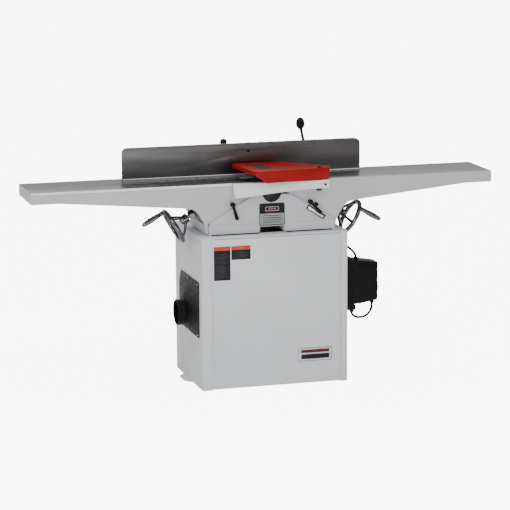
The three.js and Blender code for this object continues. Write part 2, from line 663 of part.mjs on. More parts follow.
function fenceCarriage() {
  const slab = prismXY([[-84, 228, 4], [84, 228, 4], [84, 330, 8], [-84, 330, 8]], 797, 811);
  const lug = (x) => join(
    rod([x, ...HINGE], [x + 10, ...HINGE], 8, 8, 16),
    block(x, x + 10, HINGE[0], 232, 798, 811),
  );
  const pin = (x) => rod([x, ...HINGE], [x + 22, ...HINGE], 4, 4, 12);
  const ear = prismYZ([[258, 800], [286, 800], [284, 846, 6], [262, 846, 6]], -84, -76);
  const key = (x) => block(x, x + 7, 252, 328, 784, 798);
  const stud = rod([-80, 269.7, 837], [-99, 269.7, 837], 3.6, 3.6, 12);
  const leverStud = post(50, 300, 5, 810, 822);
  return join(slab, lug(-47), lug(37), pin(-60), pin(38), ear, key(-64), key(57), stud, leverStud);
}

function tiltLockLever() {
  const [x, y, z] = [-107, 269.7, 837];
  const bore = rod([-100, y, z], [-95, y, z], 4.2, 4.2, 12);
  const hub = cut(rod([-114, y, z], [-95.5, y, z], 11, 11, 20), bore);
  const arm = sweep([[x, 272, 840], [x, 292, 852], [x, 304, 872], [x, 305, 902]], 4.5, 10, 8);
  return join(hub, arm, ball(x, 304, 912, 14));
}

function slideLockLever() {
  const hub = cut(post(50, 300, 12, 811 + GAP, 828), post(50, 300, 5.4, 811, 823));
  return join(hub, rod([57.5, 307.5, 823], [84, 334, 846], 4.5, 4.5, 10), ball(86, 336, 848, 11));
}

function fenceBracket() {
  const { back } = BASE;
  const cheek = [
    [back + GAP, 640], [255, 640], [300, 758], [346, 780, 4],
    [346, 796.6], [256, 796.6], [256, 722], [back + GAP, 722],
  ];
  return join(
    prismYZ(cheek, 67, 83),
    prismYZ(cheek, -83, -67),
    block(-70, 70, 296, 312, 752, 772),
  );
}

function buildFence() {
  add("fence_bracket", fenceBracket(), PAINT);
  add("fence_carriage", fenceCarriage(), PAINT);
  add("fence", fencePlate(), FENCE_IRON);
  add("tilt_quadrant", tiltQuadrant(), STEEL);
  add("fence_handle", fenceHandle(), BLACK);
  add("tilt_lock_lever", tiltLockLever(), BLACK);
  add("slide_lock_lever", slideLockLever(), BLACK);
}

// ---- switch ----
const BUTTONS = { y: 161.5, start: 388, stop: 322, radius: 14, travel: 4 };

function rectangleRing(x, inset) {
  const [y0, y1, z0, z1] = [BOX.y0 + inset, BOX.y1 - inset, LID.z0 + inset, LID.z1 - inset];
  return [[x, y0, z0], [x, y1, z0], [x, y1, z1], [x, y0, z1]];
}

function switchCover() {
  const { x1, cover } = BOX;
  const outer = loft([rectangleRing(x1 + GAP, 0), rectangleRing(x1 + 40, 2), rectangleRing(cover, 12)]);
  const inner = loft([rectangleRing(x1, 3), rectangleRing(x1 + 40, 5), rectangleRing(cover - 3, 15)]);
  const hole = (z) => {
    const [y, radius] = [BUTTONS.y, BUTTONS.radius + 1];
    return rod([cover - 5, y, z], [cover + 1, y, z], radius, radius, 24);
  };
  return cut(
    join(
      cut(outer, inner),
      post(LEAD.topX, LEAD.y, 9, LID.z1 - 5.5, LID.z1 + 12),
      post(LEAD.underX, LEAD.y, 9, LID.z0 - 2, LID.z0 + 15),
    ),
    hole(BUTTONS.start),
    hole(BUTTONS.stop),
    post(LEAD.topX, LEAD.y, LEAD.radius + 0.5, LID.z1 - 10, LID.z1 + 13),
    post(LEAD.underX, LEAD.y, LEAD.radius + 0.5, LID.z0 - 3, LID.z0 + 20),
  );
}

function switchBox() {
  const { x0, x1, y0, y1, z0, z1 } = BOX;
  const shell = cut(
    prismYZ([[y0, z0, 6], [y1, z0, 6], [y1, z1, 6], [y0, z1, 6]], x0, x1),
    block(x0 + 4, x1 + 1, y0 + 3, y1 - 3, 276, 434),
  );
  const noseTop = LID.z0 - 2.5;
  const noseSide = [[x1 - 2, z0], [LID.nose, z0, 7], [LID.nose, noseTop, 4], [x1 - 2, noseTop]];
  const nose = prismXZ(noseSide, y0 + 4, y0 + 44);
  const gland = post(LEAD.glandX, LEAD.y, 9, z0 - 10, z0 + 1);
  return cut(join(shell, nose, gland), post(LEAD.glandX, LEAD.y, LEAD.radius + 0.5, z0 - 11, z0 + 8));
}

function button(z, proud) {
  const { y, radius } = BUTTONS;
  return join(
    rod([BOX.cover - 12, y, z], [BOX.cover + proud, y, z], radius, radius, 24),
    rod([BOX.cover - 20, y, z], [BOX.cover - 11, y, z], radius - 4, radius - 4, 16),
  );
}

function buildSwitch() {
  add("switch_box", switchBox(), BLACK);
  add("switch_cover", switchCover(), BLACK);
  add("contactor", block(BOX.x0 + 6, BOX.x1 + 20, 150, 190, 300, 410), MOTOR_GREY);
  add("start_button", button(BUTTONS.start, 5), GREEN);
  add("stop_button", button(BUTTONS.stop, 9), STOP_RED);
  const { y, wallZ, topX, underX, glandX } = LEAD;
  const upper = [
    [topX, y, 437], [topX, y, 452], [385, y, 464], [376, y, 476], [363, y, 488],
    [345, y, 501], [326, y, 511], [306, y, wallZ], [284, y, wallZ],
  ];
  const lower = [
    [underX, y, 277], [underX, y, 261], [456, y, 246], [451, y, 231], [441, y, 218], [427, y, 209],
    [411, y, 206], [395, y, 207], [382, y, 213], [374, y, 222], [glandX, y, 233], [glandX, y, 246],
  ];
  add("motor_lead", sweep(upper, LEAD.radius, 20, 8), RUBBER);
  add("switch_lead", sweep(lower, LEAD.radius, 32, 8), RUBBER);
}

buildStand();
buildExtraction();
buildBase();
buildCutterhead();
buildBearings();
buildDrive();
buildMotor();
buildInfeed();
buildOutfeed();
buildGuard();
buildFence();
buildSwitch();
machine.position.set(-FOOTPRINT_CENTRE.x, -FOOTPRINT_CENTRE.y, 0);

export default machine;
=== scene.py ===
"""Looks for the jointer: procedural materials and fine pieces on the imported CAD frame. Metres, +Z up."""

import json
import math

import bmesh
import bpy
from mathutils import Matrix, Vector


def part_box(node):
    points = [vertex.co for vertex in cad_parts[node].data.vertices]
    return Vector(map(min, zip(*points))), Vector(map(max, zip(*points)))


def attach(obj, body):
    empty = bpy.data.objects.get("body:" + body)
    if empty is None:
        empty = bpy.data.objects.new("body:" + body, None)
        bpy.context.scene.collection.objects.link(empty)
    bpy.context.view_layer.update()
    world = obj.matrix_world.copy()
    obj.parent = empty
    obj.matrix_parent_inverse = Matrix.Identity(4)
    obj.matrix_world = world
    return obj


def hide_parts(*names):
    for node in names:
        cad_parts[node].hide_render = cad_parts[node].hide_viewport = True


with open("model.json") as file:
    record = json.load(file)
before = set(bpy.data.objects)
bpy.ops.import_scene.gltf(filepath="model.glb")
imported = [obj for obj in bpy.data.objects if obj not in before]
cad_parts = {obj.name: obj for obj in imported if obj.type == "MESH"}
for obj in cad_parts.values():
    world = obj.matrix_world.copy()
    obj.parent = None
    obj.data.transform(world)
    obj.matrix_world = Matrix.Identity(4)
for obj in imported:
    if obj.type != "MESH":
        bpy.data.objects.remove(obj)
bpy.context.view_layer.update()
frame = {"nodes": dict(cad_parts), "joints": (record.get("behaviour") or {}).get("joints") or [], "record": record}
RECORD = frame["record"]
JOINTS = {joint["name"]: joint for joint in frame["joints"]}
MM = 0.001
X, Y, Z = Vector((1, 0, 0)), Vector((0, 1, 0)), Vector((0, 0, 1))

WELD = 0.02 * MM  # points closer than this are one point
FLAT = math.radians(0.6)  # faces closer in angle than this are one face

FLOOR_GLOW = 7.5
SKY = ((0.0, 0.03), (0.2, 0.05), (0.38, 0.25), (0.6, 1.0), (1.0, 1.4))
BACKDROP = ((0.0, 0.0), (0.45, 0.05), (0.9, 0.42))
QUARTERS = ((-1, -1), (1, -1), (1, 1), (-1, 1))  # a rectangle's corners in turn
SIGHT_HOLE = (-21 * MM, 0.887)  # x and z of the hole in the fence's face
SCALE_LEAN = math.radians(33)  # of the depth scale, below level
PORT_CENTRE = (-0.0163, 0.275)  # y and z of the dust port's axis
FOOT_END_SHADE_BAND = (0.636, 0.702)  # heights of the band on each table foot's outer end that is painted black as painted shade


# ---- camera ----
CAMERA_AT = (-2.3647, -8.2932, 2.1319)
CAMERA_YAW, CAMERA_PITCH, CAMERA_ROLL = 0.276939, -0.189282, -0.006138
CAMERA_LENS = 157.74


def make_camera():
    data = bpy.data.cameras.new("camera")
    data.lens = CAMERA_LENS
    data.sensor_width = 36
    data.clip_end = 100
    camera = bpy.data.objects.new("camera", data)
    bpy.context.scene.collection.objects.link(camera)
    turn = Matrix.Rotation(-CAMERA_YAW, 4, "Z") @ Matrix.Rotation(math.pi / 2 + CAMERA_PITCH, 4, "X")
    camera.matrix_world = Matrix.Translation(CAMERA_AT) @ turn @ Matrix.Rotation(CAMERA_ROLL, 4, "Z")
    bpy.context.scene.camera = camera


make_camera()


# ---- materials ----
class Shader:
    """One Principled material with helpers for procedural variation, all in object space."""

    def __init__(self, name, color, roughness, metallic=0.0, **sockets):
        self.material = bpy.data.materials.new(name)
        self.material.use_nodes = True
        self.tree = self.material.node_tree
        self.bsdf = self.tree.nodes["Principled BSDF"]
        self.bsdf.inputs["Base Color"].default_value = (*color, 1)
        self.bsdf.inputs["Roughness"].default_value = roughness
        self.bsdf.inputs["Metallic"].default_value = metallic
        for socket, value in sockets.items():
            self.bsdf.inputs[socket.replace("_", " ")].default_value = value
        self.color, self.roughness = color, roughness
        self.normal = None

    def link(self, out, into):
        self.tree.links.new(out, into)

    def noise(self, scale, detail=3.0, stretch=(1, 1, 1), rough=0.55):
        nodes = self.tree.nodes
        place = nodes.new("ShaderNodeTexCoord")
        mapping = nodes.new("ShaderNodeMapping")
        mapping.inputs["Scale"].default_value = stretch
        noise = nodes.new("ShaderNodeTexNoise")
        noise.inputs["Scale"].default_value = scale
        noise.inputs["Detail"].default_value = detail
        noise.inputs["Roughness"].default_value = rough
        self.link(place.outputs["Object"], mapping.inputs["Vector"])
        self.link(mapping.outputs["Vector"], noise.inputs["Vector"])
        return noise.outputs["Fac"]

    def spread(self, value, low, high, source_low=0.3, source_high=0.7):
        remap = self.tree.nodes.new("ShaderNodeMapRange")
        remap.inputs["From Min"].default_value = source_low
        remap.inputs["From Max"].default_value = source_high
        remap.inputs["To Min"].default_value = low
        remap.inputs["To Max"].default_value = high
        self.link(value, remap.inputs["Value"])
        return remap.outputs["Result"]

    def tint(self, fac, other, low=0.35, high=0.65):
        """Base colour drifts towards another colour where fac is high."""
        ramp = self.tree.nodes.new("ShaderNodeValToRGB")
        ramp.color_ramp.elements[0].position = low
        ramp.color_ramp.elements[0].color = (*self.color, 1)
        ramp.color_ramp.elements[1].position = high
        ramp.color_ramp.elements[1].color = (*other, 1)
        self.link(fac, ramp.inputs["Fac"])
        self.link(ramp.outputs["Color"], self.bsdf.inputs["Base Color"])
        return self

    def vary_roughness(self, fac, low, high):
        self.link(self.spread(fac, low, high), self.bsdf.inputs["Roughness"])
        return self

    def bump(self, fac, strength, depth):
        """Stacks a bump on those before it; depth is in metres."""
        node = self.tree.nodes.new("ShaderNodeBump")
        node.inputs["Strength"].default_value = strength
        node.inputs["Distance"].default_value = depth
        self.link(fac, node.inputs["Height"])
        if self.normal:
            self.link(self.normal, node.inputs["Normal"])
        self.normal = node.outputs["Normal"]
        self.link(self.normal, self.bsdf.inputs["Normal"])
        return self


def darker(color, share):
    return tuple(channel * share for channel in color)


def powder_coat(name, color, roughness=0.36):
    paint = Shader(name, color, roughness, Coat_Weight=0.25, Coat_Roughness=0.22)
    paint.tint(paint.noise(6, 4), darker(color, 0.955))
    paint.vary_roughness(paint.noise(40, 3), roughness - 0.05, roughness + 0.07)
    paint.bump(paint.noise(420, 2), 0.16, 0.00025)
    paint.bump(paint.noise(28, 2), 0.05, 0.001)
    return paint.material


def ground_iron(name, color, roughness, waviness):
    """Cast iron ground lengthways: fine lines along X over a soft mottling."""
    iron = Shader(name, color, roughness, 1.0)
    lines = iron.noise(260, 3, (0.035, 1, 1), 0.7)
    iron.tint(iron.noise(14, 5, (0.4, 1, 1)), darker(color, 0.8))
    iron.vary_roughness(lines, roughness - 0.04, roughness + 0.07)
    iron.bump(lines, 0.05, 0.0002)
    iron.bump(iron.noise(5, 2), waviness, 0.002)
    return iron.material


def gloss_paint(name, color, roughness=0.24, specular=0.35):
    coat = {"Coat_Weight": 0.12, "Coat_Roughness": 0.08}
    paint = Shader(name, color, roughness, Specular_IOR_Level=specular, **coat)
    paint.tint(paint.noise(18, 4), darker(color, 0.86))
    paint.vary_roughness(paint.noise(60, 3), roughness - 0.03, roughness + 0.05)
    paint.bump(paint.noise(240, 2), 0.04, 0.0002)
    paint.bump(paint.noise(24, 2), 0.04, 0.001)
    return paint.material


def moulded(name, color, roughness=0.45, grain=900):
    plastic = Shader(name, color, roughness, Specular_IOR_Level=0.18)
    plastic.tint(plastic.noise(30, 4), tuple(channel * 1.5 for channel in color))
    plastic.vary_roughness(plastic.noise(70, 3), roughness - 0.07, roughness + 0.1)
    plastic.bump(plastic.noise(grain, 2), 0.25, 0.00015)
    return plastic.material


# The default colour is chrome darkened far below its real brightness: painted dark reflection.
def plated(name, color=(0.2, 0.203, 0.21), roughness=0.08):
    chrome = Shader(name, color, roughness, 1.0)
    chrome.tint(chrome.noise(25, 4), darker(color, 0.88))
    chrome.vary_roughness(chrome.noise(55, 4), roughness - 0.03, roughness + 0.08)
    chrome.bump(chrome.noise(40, 2), 0.03, 0.0006)
    return chrome.material


def machined(name, color=(0.5, 0.51, 0.52), roughness=0.32, stretch=(1, 0.06, 1)):
    steel = Shader(name, color, roughness, 1.0)
    lines = steel.noise(420, 3, stretch, 0.7)
    steel.tint(steel.noise(22, 4), darker(color, 0.78))
    steel.vary_roughness(lines, roughness - 0.08, roughness + 0.12)
    steel.bump(lines, 0.15, 0.00015)
    return steel.material


WHITE = powder_coat("white_paint", (0.79, 0.81, 0.835))
CASTING_WHITE = powder_coat("casting_white", (0.6, 0.612, 0.63), 0.4)
# A lighter copy of the white paint for the rabbet arm: painted light on its front.
ARM_LIT_WHITE = powder_coat("arm_painted_light_white", (0.93, 0.94, 0.96), 0.32)
TOP_IRON = ground_iron("table_iron", (0.40, 0.405, 0.41), 0.25, 0.03)
# A white brighter than the paint, for chamfer strips: painted highlight.
EDGE_HIGHLIGHT_WHITE = powder_coat("edge_highlight_white", (0.985, 0.975, 0.975), 0.3)
FENCE_IRON = ground_iron("fence_iron", (0.2, 0.193, 0.19), 0.42, 0.004)
RED = gloss_paint("guard_red", (0.34, 0.0025, 0.001), 0.3, 0.2)
BLACK_PAINT = gloss_paint("black_paint", (0.004, 0.004, 0.0045), 0.3, 0.3)
BLACK_PLASTIC = moulded("black_plastic", (0.0035, 0.0036, 0.004), 0.42)
KNOB_BLACK = moulded("knob_black", (0.003, 0.003, 0.0032), 0.2, 300)
RUBBER = moulded("rubber", (0.004, 0.004, 0.004), 0.6, 1500)
# Chrome darkened to look black: painted dark reflection, standing in for the dark surroundings it mirrors.
CHROME = plated("chrome")
BRIGHT_CHROME = plated("bright_chrome", (0.85, 0.86, 0.87), 0.14)
STEEL = machined("steel")
DARK_STEEL = machined("dark_steel", (0.09, 0.09, 0.095), 0.4)
MOTOR_PAINT = powder_coat("motor_paint", (0.035, 0.038, 0.042), 0.42)
GREEN = moulded("green_plastic", (0.02, 0.3, 0.08), 0.3, 600)
STOP_RED = moulded("red_plastic", (0.5, 0.015, 0.012), 0.3, 600)
LABEL_DARK = moulded("label_dark", (0.012, 0.012, 0.015), 0.5, 200)
LABEL_ORANGE = moulded("label_orange", (0.5, 0.06, 0.025), 0.45, 200)
LABEL_GREY = moulded("label_grey", (0.07, 0.07, 0.078), 0.5, 200)
LABEL_LILAC = moulded("label_lilac", (0.62, 0.58, 0.65), 0.45, 200)
LABEL_FRAME = moulded("label_frame", (0.2, 0.19, 0.21), 0.45, 200)
LABEL_PINK = moulded("label_pink", (0.42, 0.27, 0.28), 0.45, 200)
LABEL_SILVER = machined("label_silver", (0.36, 0.36, 0.37), 0.34, (0.05, 1, 1))
LABEL_RED = gloss_paint("label_red", (0.13, 0.006, 0.01), 0.4)


# ---- mesh helpers ----
def smooth(bm, corner_degrees=40):
    """Every face smooth, with edges over the corner angle kept sharp."""
    for face in bm.faces:
        face.smooth = True
    for edge in bm.edges:
        edge.smooth = edge.calc_face_angle(0) < math.radians(corner_degrees)


def piece(name, bm, material, body, stands_for=(), corner_degrees=40):
    """Turns a bmesh in the row's frame into a piece that rides on a body."""
    bmesh.ops.recalc_face_normals(bm, faces=bm.faces)
    smooth(bm, corner_degrees)
    mesh = bpy.data.meshes.new(name)
    bm.to_mesh(mesh)
    bm.free()
    for one in material if isinstance(material, list) else [material]:
        mesh.materials.append(one)
    obj = bpy.data.objects.new(name, mesh)
    bpy.context.scene.collection.objects.link(obj)
    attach(obj, body)
    if stands_for:
        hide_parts(*stands_for)
    return obj


def square_axes(axis):
    """Two directions square to an axis."""
    along = Vector(axis).normalized()
    side = along.cross(Z if abs(along.z) < 0.9 else X).normalized()
    return side, along.cross(side)


def ring(bm, centre, side, up, radius, sides, phase=0.0):
    turns = [2 * math.pi * (i + phase) / sides for i in range(sides)]
    return [bm.verts.new(centre + side * radius * math.cos(t) + up * radius * math.sin(t)) for t in turns]


def skin(bm, rings, material=0):
    """Bridges rings of equal count and caps both ends."""
    count = len(rings[0])
    faces = [bm.faces.new(list(reversed(rings[0]))), bm.faces.new(rings[-1])]
    for low, high in zip(rings, rings[1:]):
        for i in range(count):
            j = (i + 1) % count
            faces.append(bm.faces.new((low[i], low[j], high[j], high[i])))
    for face in faces:
        face.material_index = material


def lathe(bm, profile, origin, axis, sides=32, material=0):
    """A turned solid: profile is [radius, height along the axis] from one end cap to the other."""
    along = Vector(axis).normalized()
    side, up = square_axes(along)
    rings = [ring(bm, Vector(origin) + along * h, side, up, max(r, 1e-5), sides) for r, h in profile]
    skin(bm, rings, material)


def round_profile(radius, low, high, fillet, steps=4):
    """A plain cylinder's profile with rounded rims."""
    turns = [math.pi / 2 * i / steps for i in range(steps + 1)]
    inner = radius - fillet
    bottom = [(inner + fillet * math.sin(t), low + fillet * (1 - math.cos(t))) for t in turns]
    top = [(inner + fillet * math.cos(t), high - fillet * (1 - math.sin(t))) for t in turns]
    return bottom + top


def ball_profile(radius, stretch=1.0, steps=14, start=0.0):
    """A ball or egg from its lower pole (or from an opening of the given angle) to its top."""
    turns = [start + (math.pi - start) * i / steps for i in range(steps + 1)]
    return [(radius * math.sin(t), -radius * stretch * math.cos(t)) for t in turns]


def spline(points, per_span=8):
    """Catmull-Rom through given points."""
    pts = [Vector(p) for p in points]
    pts = [2 * pts[0] - pts[1], *pts, 2 * pts[-1] - pts[-2]]
    out = []
    for a, b, c, d in zip(pts, pts[1:], pts[2:], pts[3:]):
        for i in range(per_span):
            t = i / per_span
            out.append(0.5 * (2 * b + (c - a) * t + (2 * a - 5 * b + 4 * c - d) * t * t
                              + (3 * b - a - 3 * c + d) * t ** 3))
    return [*out, pts[-2]]


def sweep(bm, path, radii, sides=16, flat=1.0, material=0):
    """A round or flattened bar along a path; radii is one number or one per point."""
    if not isinstance(radii, (list, tuple)):
        radii = [radii] * len(path)
    side = None
    rings = []
    for i, point in enumerate(path):
        along = (path[min(i + 1, len(path) - 1)] - path[max(i - 1, 0)]).normalized()
        side = square_axes(along)[0] if side is None else (side - along * side.dot(along)).normalized()
        up = along.cross(side)
        rings.append(ring(bm, point, side, up * flat, radii[i], sides))
    skin(bm, rings, material)


def torus(bm, centre, axis, major, minor, around=64, sides=16, material=0):
    side, up = square_axes(axis)
    along = Vector(axis).normalized()
    rings = []
    for i in range(around):
        turn = 2 * math.pi * i / around
        out = side * math.cos(turn) + up * math.sin(turn)
        rings.append(ring(bm, centre + out * major, out, along, minor, sides))
    for low, high in zip(rings, rings[1:] + rings[:1]):
        for i in range(sides):
            j = (i + 1) % sides
            bm.faces.new((low[i], low[j], high[j], high[i])).material_index = material


def slab(bm, corners, normal, thickness, material=0):
    """A flat plate: its outline's points and how far it stands out along the normal."""
    out = Vector(normal).normalized() * thickness
    back = [bm.verts.new(Vector(p)) for p in corners]
    front = [bm.verts.new(Vector(p) + out) for p in corners]
    skin(bm, [back, front], material)


def rounded_rectangle(centre, across, up, width, height, fillet, steps=4):
    points = []
    for sx, sy, start in ((1, 1, 0), (-1, 1, 90), (-1, -1, 180), (1, -1, 270)):
        corner = centre + across * sx * (width / 2 - fillet) + up * sy * (height / 2 - fillet)
        for i in range(steps + 1):
            turn = math.radians(start + 90 * i / steps)
            points.append(corner + (across * math.cos(turn) + up * math.sin(turn)) * fillet)
    return points


def cap_screw(bm, at, axis, radius, material=0):
    """A round-headed screw with a hexagon socket, sitting on a surface."""
    height = radius * 0.9
    profile = round_profile(radius, -0.2 * MM, height, radius * 0.22, 3)
    socket = [(radius * 0.52, height), (radius * 0.5, height * 0.45), (0, height * 0.4)]
    lathe(bm, profile + socket, at, axis, 18, material)


def screws(name, places, axis, radius, body, material):
    bm = bmesh.new()
    for at in places:
        cap_screw(bm, Vector(at), axis, radius)
    return piece(name, bm, material, body)


# ---- CAD nodes that keep their shape ----
def round_edges(obj, width, segments, angle):
    bevel = obj.modifiers.new("edges", "BEVEL")
    bevel.width = width
    bevel.segments = segments
    bevel.limit_method = "ANGLE"
    bevel.angle_limit = math.radians(angle)
    bevel.use_clamp_overlap = True
    bevel.harden_normals = True


def soften(node, material, width=0.8 * MM, segments=2, angle=38):
    """A CAD node keeps its mesh; modifiers weld it, clear flat faces and round its edges."""
    obj = frame["nodes"][node]
    obj.data.materials.clear()
    obj.data.materials.append(material)
    for polygon in obj.data.polygons:
        polygon.use_smooth = True
    weld = obj.modifiers.new("weld", "WELD")
    weld.merge_threshold = WELD
    flat = obj.modifiers.new("flat", "DECIMATE")
    flat.decimate_type = "DISSOLVE"
    flat.angle_limit = FLAT
    round_edges(obj, width, segments, angle)


def body_of(node):
    for body, members in RECORD["behaviour"]["bodies"].items():
        if node in members:
            return body
    raise KeyError(node)


def recast(node, materials, choose, width, segments=3, angle=38):
    """A copy of a CAD node's surface with rounded edges, its faces painted by a rule."""
    bm = bmesh.new()
    bm.from_mesh(frame["nodes"][node].data)
    bmesh.ops.remove_doubles(bm, verts=bm.verts, dist=WELD)
    bmesh.ops.dissolve_limit(bm, angle_limit=FLAT, verts=bm.verts, edges=bm.edges)
    for face in bm.faces:
        face.material_index = choose(face)
    obj = piece(node + "_cast", bm, materials, body_of(node), [node], angle)
    round_edges(obj, width, segments, angle)
    for edge in obj.data.edges:
        edge.use_edge_sharp = False


# ---- cabinet ----
def build_cabinet():
    soften("stand_body", WHITE, 0.9 * MM)
    soften("front_panel", WHITE, 0.9 * MM)
    soften("rear_panel", WHITE, 0.5 * MM)
    low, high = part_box("rear_panel")
    inset = 9 * MM
    columns = [low.x + inset, (low.x + high.x) / 2, high.x - inset]
    rows = [low.z + inset, (low.z + high.z) / 2, high.z - inset]
    places = [(x, high.y, z) for x in columns for z in rows if (x, z) != (columns[1], rows[1])]
    screws("rear_panel_screws", places, Y, 3.6 * MM, "root", STEEL)


def label(name, low, width, height, bars, depth=0.35 * MM):
    """A stuck-on label: a dark plate with bars, each (left, bottom, width, height, material number)."""
    bm = bmesh.new()
    middle = low + X * width / 2 + Z * height / 2
    slab(bm, rounded_rectangle(middle, X, Z, width, height, 1.5 * MM), -Y, depth)
    for left, bottom, wide, tall, number in bars:
        corner = low + X * left + Z * bottom - Y * depth
        corners = [corner, corner + X * wide, corner + X * wide + Z * tall, corner + Z * tall]
        slab(bm, corners, -Y, 0.12 * MM, number)
    return piece(name, bm, [LABEL_DARK, LABEL_ORANGE, LABEL_GREY], "root")


def text_bars(width, bottom, top, pitch=5 * MM, margin=5 * MM):
    """Plain grey strokes of uneven length, in place of printed lines."""
    bars = []
    count = int((top - bottom) / pitch)
    for i in range(count):
        share = 0.62 + 0.34 * ((i * 7) % 5) / 4
        bars.append((margin, bottom + i * pitch, (width - 2 * margin) * share, 1.1 * MM, 2))
    return bars


def build_labels():
    low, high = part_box("front_panel")
    face = low.y
    tall, short = (65 * MM, 131 * MM), (76 * MM, 53 * MM)
    tall_at = Vector((low.x + 7 * MM, face, high.z - 159 * MM))
    short_at = Vector((tall_at.x + 69 * MM, face, tall_at.z + tall[1] - short[1]))
    header = 15 * MM
    label("label_tall", tall_at, *tall, [
        (1.2 * MM, tall[1] - header, tall[0] - 2.4 * MM, header - 1.2 * MM, 1),
        *text_bars(tall[0], 6 * MM, 110 * MM),
    ])
    label("label_short", short_at, *short, [
        (1.2 * MM, short[1] - header, short[0] - 2.4 * MM, header - 1.2 * MM, 1),
        *text_bars(short[0], 5 * MM, 36 * MM),
    ])
    width, height = 136 * MM, 53 * MM
    corner = Vector((high.x - 171 * MM, face, low.z + 87 * MM))
    name_plate(corner, width, height)


def name_plate(corner, width, height):
    """A silver plate with a dark frame and plain red and dark bands."""
    bm = bmesh.new()
    middle = corner + X * width / 2 + Z * height / 2
    slab(bm, rounded_rectangle(middle, X, Z, width, height, 3 * MM), -Y, 0.8 * MM)
    slab(bm, rounded_rectangle(middle - Y * 0.8 * MM, X, Z, width - 5 * MM, height - 5 * MM, 2 * MM),
         -Y, 0.25 * MM, 1)
    for centre, share, number in ((0.74, 0.24, 2), (0.34, 0.36, 3)):
        at = corner + X * width / 2 + Z * height * centre - Y * 1.05 * MM
        slab(bm, rounded_rectangle(at, X, Z, width * 0.84, height * share, 0.8 * MM), -Y, 0.15 * MM, number)
    piece("name_plate", bm, [LABEL_FRAME, LABEL_LILAC, LABEL_RED, LABEL_DARK], "root")


# ---- dust extraction ----
def build_extraction():
    soften("dust_chute", BLACK_PLASTIC, 1.6 * MM, 3, 30)
    soften("chip_chute", STEEL, 0.4 * MM, 1)
    low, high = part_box("dust_chute")
    plane = high.x - 3.5 * MM
    near, far = low.y + 12 * MM, high.y - 12 * MM
    middle = (low.y + high.y) / 2
    places = [
        (plane, near, low.z + 10 * MM),
        (plane, near, high.z - 10 * MM),
        (plane, middle, low.z + 8 * MM),
        (plane, middle, high.z - 10 * MM),
        (plane, far, low.z + 10 * MM),
        (plane, far - 8 * MM, high.z - 62 * MM),
    ]
    screws("chute_screws", places, -X, 4.2 * MM, "root", STEEL)
    bm = bmesh.new()
    torus(bm, Vector((low.x + 4 * MM, *PORT_CENTRE)), X, 50 * MM, 1.6 * MM, 72, 10)
    piece("port_bead", bm, BLACK_PLASTIC, "root")


# ---- base casting ----
def build_base():
    soften("base_casting", CASTING_WHITE, 2.2 * MM, 3, 30)
    build_foot_gap_shadow()
    build_badge()
    build_depth_scale()


def build_foot_gap_shadow():
    """Painted shadow: a black strip under the ledge on each side of the casting's mouth, where the gap above the
    cabinet lies in shade.
    """
    low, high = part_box("base_casting")
    centre = (low.x + high.x) / 2
    mouth, end, height = 53 * MM, 8 * MM, 4.4 * MM
    bm = bmesh.new()
    for start, stop in ((low.x + end, centre - mouth), (centre + mouth, high.x - end)):
        at = Vector(((start + stop) / 2, low.y, low.z + height / 2))
        slab(bm, rounded_rectangle(at, X, Z, stop - start, height, 1 * MM), -Y, 0.4 * MM)
    piece("foot_gap_shadow", bm, BLACK_PAINT, "root")


def build_badge():
    """Black over brushed metal, in a raised rim, on four rivets."""
    low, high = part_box("badge_plate")
    middle = (low + high) / 2
    back = Vector((middle.x, high.y, middle.z))
    width, height = high.x - low.x, high.z - low.z
    bm = bmesh.new()
    slab(bm, rounded_rectangle(back, X, Z, width, height, 3 * MM), -Y, 1.2 * MM)
    face = -Y * 1.2 * MM
    silver = Vector((middle.x, high.y, low.z + height * 0.29)) + face
    slab(bm, rounded_rectangle(silver, X, Z, width - 5 * MM, height * 0.5, 1.5 * MM), -Y, 0.3 * MM, 1)
    for thick, lift, number in ((0.2, 0, 3), (0.14, 0.24 * MM, 0)):
        panel_at = Vector((middle.x, high.y, low.z + height * 0.745)) + face - Y * lift
        panel = rounded_rectangle(panel_at, X, Z, width * (0.34 + thick), height * thick, 0.8 * MM)
        slab(bm, panel, -Y, 0.25 * MM, number)
    for i in (-1, 0, 1):
        stroke = Vector((middle.x + i * 11 * MM, high.y, low.z + height * 0.745)) + face - Y * 0.49 * MM
        slab(bm, rounded_rectangle(stroke, X, Z, 7 * MM, 4 * MM, 0.5 * MM), -Y, 0.12 * MM, 3)
    for share in (0.14, 0.24, 0.34, 0.44):
        line = Vector((middle.x, high.y, low.z + height * share)) + face - Y * 0.3 * MM
        slab(bm, rounded_rectangle(line, X, Z, width * 0.74, height * 0.025, 0.4 * MM), -Y, 0.1 * MM, 0)
    for sx in (-1, 1):
        for sz in (-1, 1):
            at = middle + X * sx * (width / 2 - 3.4 * MM) + Z * sz * (height / 2 - 3.4 * MM)
            at.y = high.y - 1.2 * MM
            lathe(bm, round_profile(1.6 * MM, 0, 0.9 * MM, 0.6 * MM, 3), at, -Y, 14, 1)
    paints = [LABEL_DARK, LABEL_SILVER, LABEL_RED, LABEL_PINK]
    piece("badge", bm, paints, "root", ["badge_plate"])


